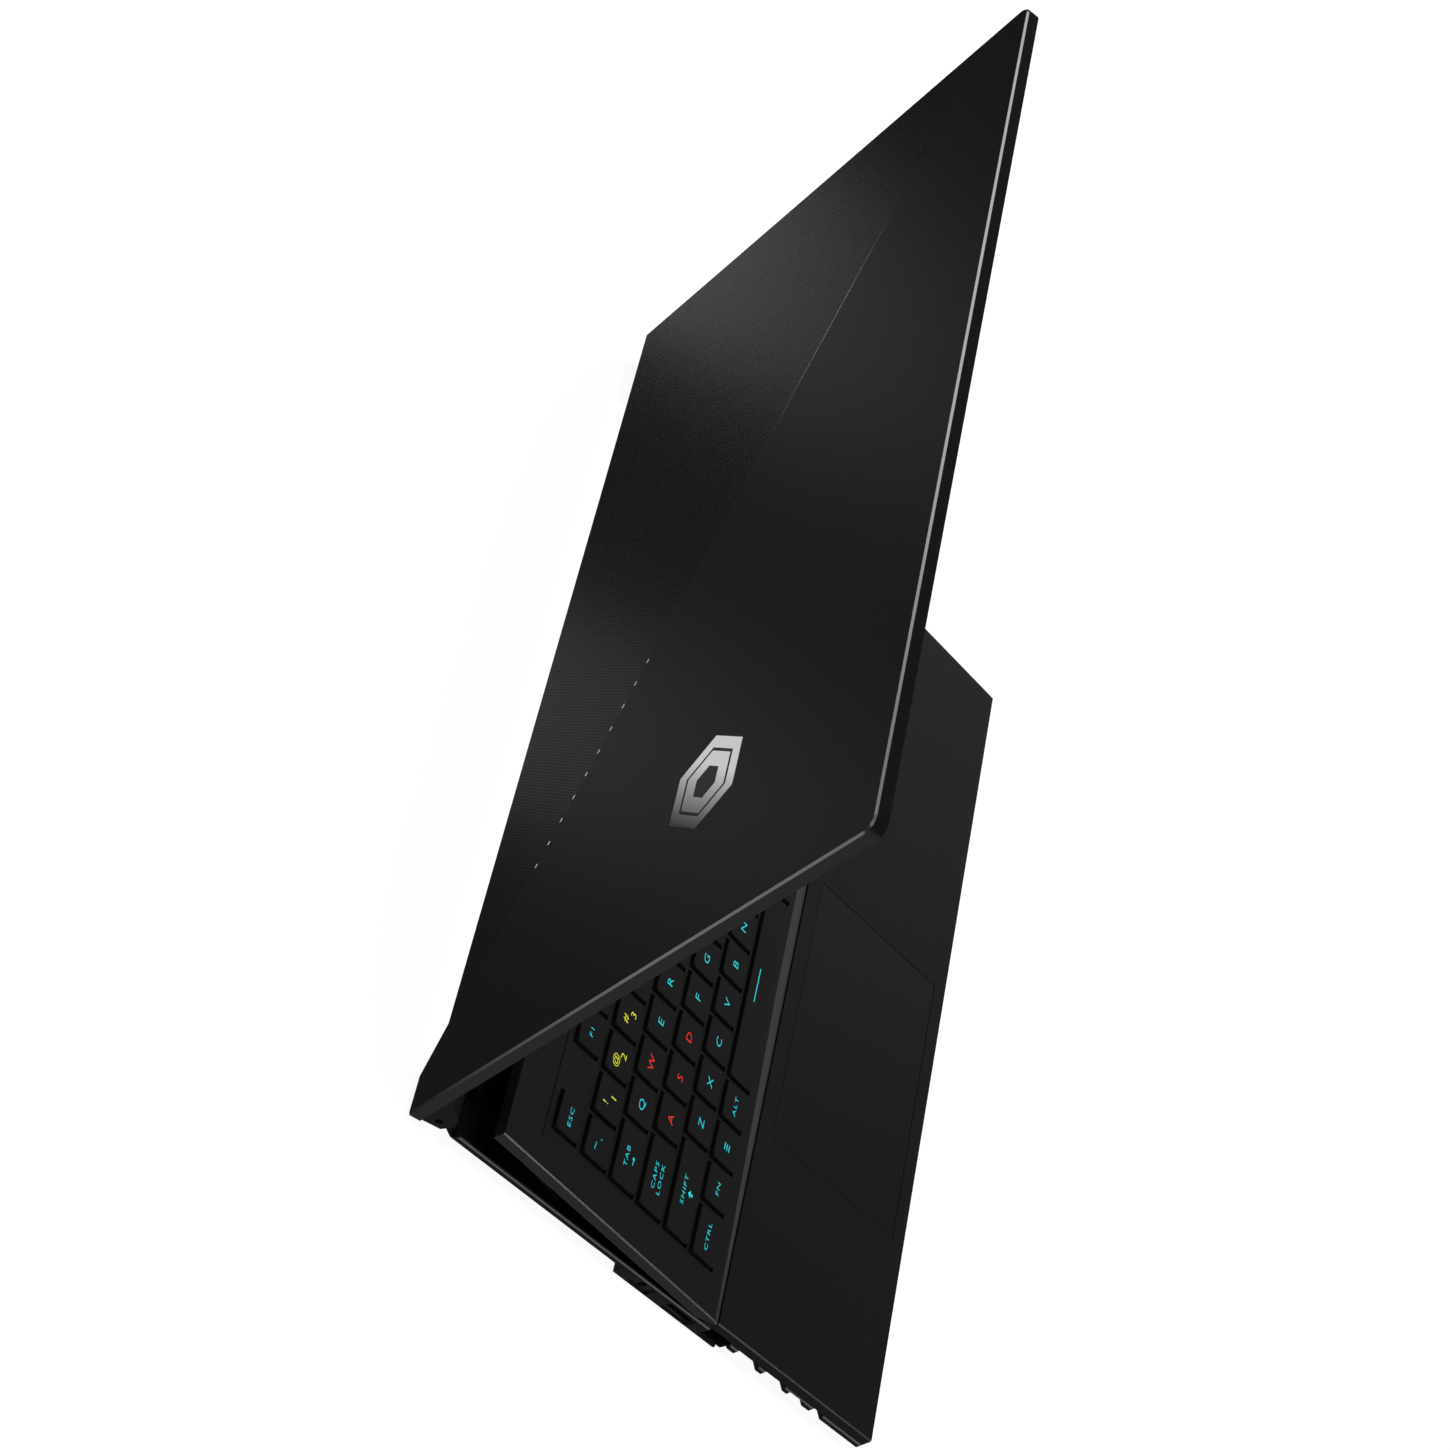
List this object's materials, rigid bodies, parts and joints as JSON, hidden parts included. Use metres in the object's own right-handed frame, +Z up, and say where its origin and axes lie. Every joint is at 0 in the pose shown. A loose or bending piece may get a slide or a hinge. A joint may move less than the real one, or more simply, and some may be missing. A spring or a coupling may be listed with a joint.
{
  "type": "laptop computer",
  "caption": "Slim black laptop computer, lid open past upright, with a keyboard deck that rises as the lid opens and an offset touchpad.",
  "frame": {"origin": "centre of the open laptop's footprint on the surface it stands on", "axes": "+X to the user's right, +Y from the front edge to the rear, +Z up"},
  "size_m": [0.394, 0.3206, 0.2537],
  "materials": {
    "case_metal": "satin black",
    "bottom_plastic": "matt black",
    "lid_metal": "anodised black, dotted and brushed",
    "touch_glass": "smooth satin",
    "key_plastic": "matt black with lit legends",
    "button_plastic": "matt black",
    "plate_metal": "black",
    "bezel_plastic": "matt black",
    "screen": "dark, off",
    "camera": "gloss black",
    "rubber": "matt",
    "emblem": "polished",
    "hinge_cover": "matt black",
    "hinge_steel": "plain",
    "socket_metal": "plated",
    "screw_steel": "black oxide",
    "board": "solder mask",
    "battery": "wrapped cells",
    "speaker": "plain",
    "copper": "copper",
    "fin_metal": "plain",
    "fan_plastic": "plain"
  },
  "bodies": {
    "base": {"palm_rest_case": "case_metal", "bottom_cover": "bottom_plastic", "bottom_screws": "screw_steel", "rubber_feet": "rubber", "power_inlet": "socket_metal", "hdmi_socket": "socket_metal", "lan_socket": "socket_metal", "usb_a_sockets": "socket_metal", "usb_c_sockets": "socket_metal", "audio_socket": "socket_metal", "card_reader": "socket_metal", "deck_hinge_ears": "hinge_steel", "lift_pivots": "hinge_steel", "hinge_bracket_left": "hinge_steel", "hinge_bracket_right": "hinge_steel", "hinge_pins": "hinge_steel", "battery_pack": "battery", "loudspeakers": "speaker", "motherboard": "board", "cold_plates": "copper", "heat_pipes": "copper", "solid_state_drives": "board", "memory_module": "board", "wireless_card": "board", "fan_housing_left": "fan_plastic", "fan_housing_right": "fan_plastic", "fin_stack_left": "fin_metal", "fin_stack_right": "fin_metal"},
    "lid": {"lid_cover": "lid_metal", "screen_bezel": "bezel_plastic", "lcd_panel": "screen", "webcam": "camera", "lid_aerials": "board", "lid_bumpers": "rubber", "lid_emblem": "emblem", "hinge_cap_left": "hinge_cover", "hinge_cap_right": "hinge_cover", "hinge_leaf_left": "hinge_steel", "hinge_leaf_right": "hinge_steel"},
    "deck": {"keyboard_deck": "case_metal", "key_plate": "plate_metal"},
    "touchpad": {"touchpad": "touch_glass"},
    "fan_left": {"fan_rotor_left": "fan_plastic"},
    "fan_right": {"fan_rotor_right": "fan_plastic"},
    "link_left": {"lift_link_left": "hinge_steel"},
    "link_right": {"lift_link_right": "hinge_steel"},
    "dial": {"volume_dial": "button_plastic"},
    "power": {"power_button": "button_plastic"},
    "function_keys": {"function_keys": "key_plastic"},
    "number_keys": {"number_keys": "key_plastic"},
    "top_letter_keys": {"top_letter_keys": "key_plastic"},
    "home_keys": {"home_keys": "key_plastic"},
    "enter_key": {"enter_key": "key_plastic"},
    "lower_letter_keys": {"lower_letter_keys": "key_plastic"},
    "bottom_row_keys": {"bottom_row_keys": "key_plastic"},
    "space_bar": {"space_bar": "key_plastic"},
    "arrow_keys": {"arrow_keys": "key_plastic"},
    "numpad_keys": {"numpad_keys": "key_plastic"}
  },
  "joints": [
    {"name": "lid_hinge", "type": "hinge", "parent": "base", "child": "lid", "pos_m": [0, 0.09173, 0.01], "axis": [1, 0, 0], "range_deg": [-16.5, 103.5]},
    {"name": "deck_lift", "type": "hinge", "parent": "base", "child": "deck", "pos_m": [0, -0.05927, 0.0103], "axis": [1, 0, 0], "range_deg": [-5.03, 0.82]},
    {"name": "lift_link_left_hinge", "type": "hinge", "parent": "base", "child": "link_left", "pos_m": [0, 0.02973, 0.0093], "axis": [1, 0, 0], "range_deg": [-17, 2.8]},
    {"name": "lift_link_right_hinge", "type": "hinge", "parent": "base", "child": "link_right", "pos_m": [0, 0.02973, 0.0093], "axis": [1, 0, 0], "range_deg": [-17, 2.8]},
    {"name": "touchpad_click", "type": "hinge", "parent": "base", "child": "touchpad", "pos_m": [-0.0423, -0.07107, 0.0129], "axis": [1, 0, 0], "range_deg": [0, 0.35], "stiffness_Nm_per_rad": 20, "springref_deg": -0.17},
    {"name": "fan_left_spin", "type": "hinge", "parent": "base", "child": "fan_left", "pos_m": [-0.135, 0.02973, 0.004], "axis": [0, 0, 1], "continuous": true},
    {"name": "fan_right_spin", "type": "hinge", "parent": "base", "child": "fan_right", "pos_m": [0.135, 0.02973, 0.004], "axis": [0, 0, 1], "continuous": true},
    {"name": "dial_turn", "type": "hinge", "parent": "deck", "child": "dial", "pos_m": [-0.108, 0.06435, 0.02238], "axis": [1, 0, 0], "continuous": true},
    {"name": "power_press", "type": "slide", "parent": "deck", "child": "power", "axis": [0, 0.0877, -0.9961], "range_m": [0, 0.0005], "stiffness_N_per_m": 600, "springref_m": -0.0005},
    {"name": "function_keys_press", "type": "slide", "parent": "deck", "child": "function_keys", "axis": [0, 0.0877, -0.9961], "range_m": [0, 0.0018], "stiffness_N_per_m": 3380, "springref_m": -0.001},
    {"name": "number_keys_press", "type": "slide", "parent": "deck", "child": "number_keys", "axis": [0, 0.0877, -0.9961], "range_m": [0, 0.0018], "stiffness_N_per_m": 3640, "springref_m": -0.001},
    {"name": "top_letter_keys_press", "type": "slide", "parent": "deck", "child": "top_letter_keys", "axis": [0, 0.0877, -0.9961], "range_m": [0, 0.0018], "stiffness_N_per_m": 3640, "springref_m": -0.001},
    {"name": "home_keys_press", "type": "slide", "parent": "deck", "child": "home_keys", "axis": [0, 0.0877, -0.9961], "range_m": [0, 0.0018], "stiffness_N_per_m": 3120, "springref_m": -0.001},
    {"name": "enter_key_press", "type": "slide", "parent": "deck", "child": "enter_key", "axis": [0, 0.0877, -0.9961], "range_m": [0, 0.0018], "stiffness_N_per_m": 260, "springref_m": -0.001},
    {"name": "lower_letter_keys_press", "type": "slide", "parent": "deck", "child": "lower_letter_keys", "axis": [0, 0.0877, -0.9961], "range_m": [0, 0.0018], "stiffness_N_per_m": 3120, "springref_m": -0.001},
    {"name": "bottom_row_keys_press", "type": "slide", "parent": "deck", "child": "bottom_row_keys", "axis": [0, 0.0877, -0.9961], "range_m": [0, 0.0018], "stiffness_N_per_m": 1820, "springref_m": -0.001},
    {"name": "space_bar_press", "type": "slide", "parent": "deck", "child": "space_bar", "axis": [0, 0.0877, -0.9961], "range_m": [0, 0.0018], "stiffness_N_per_m": 260, "springref_m": -0.001},
    {"name": "arrow_keys_press", "type": "slide", "parent": "deck", "child": "arrow_keys", "axis": [0, 0.0877, -0.9961], "range_m": [0, 0.0018], "stiffness_N_per_m": 1040, "springref_m": -0.001},
    {"name": "numpad_keys_press", "type": "slide", "parent": "deck", "child": "numpad_keys", "axis": [0, 0.0877, -0.9961], "range_m": [0, 0.0018], "stiffness_N_per_m": 5460, "springref_m": -0.001}
  ],
  "couplings": [
    {"joint": "deck_lift", "follows": "lid_hinge", "ratio": -0.048599},
    {"joint": "lift_link_left_hinge", "follows": "lid_hinge", "ratio": -0.16425},
    {"joint": "lift_link_right_hinge", "follows": "lid_hinge", "ratio": -0.16425}
  ]
}
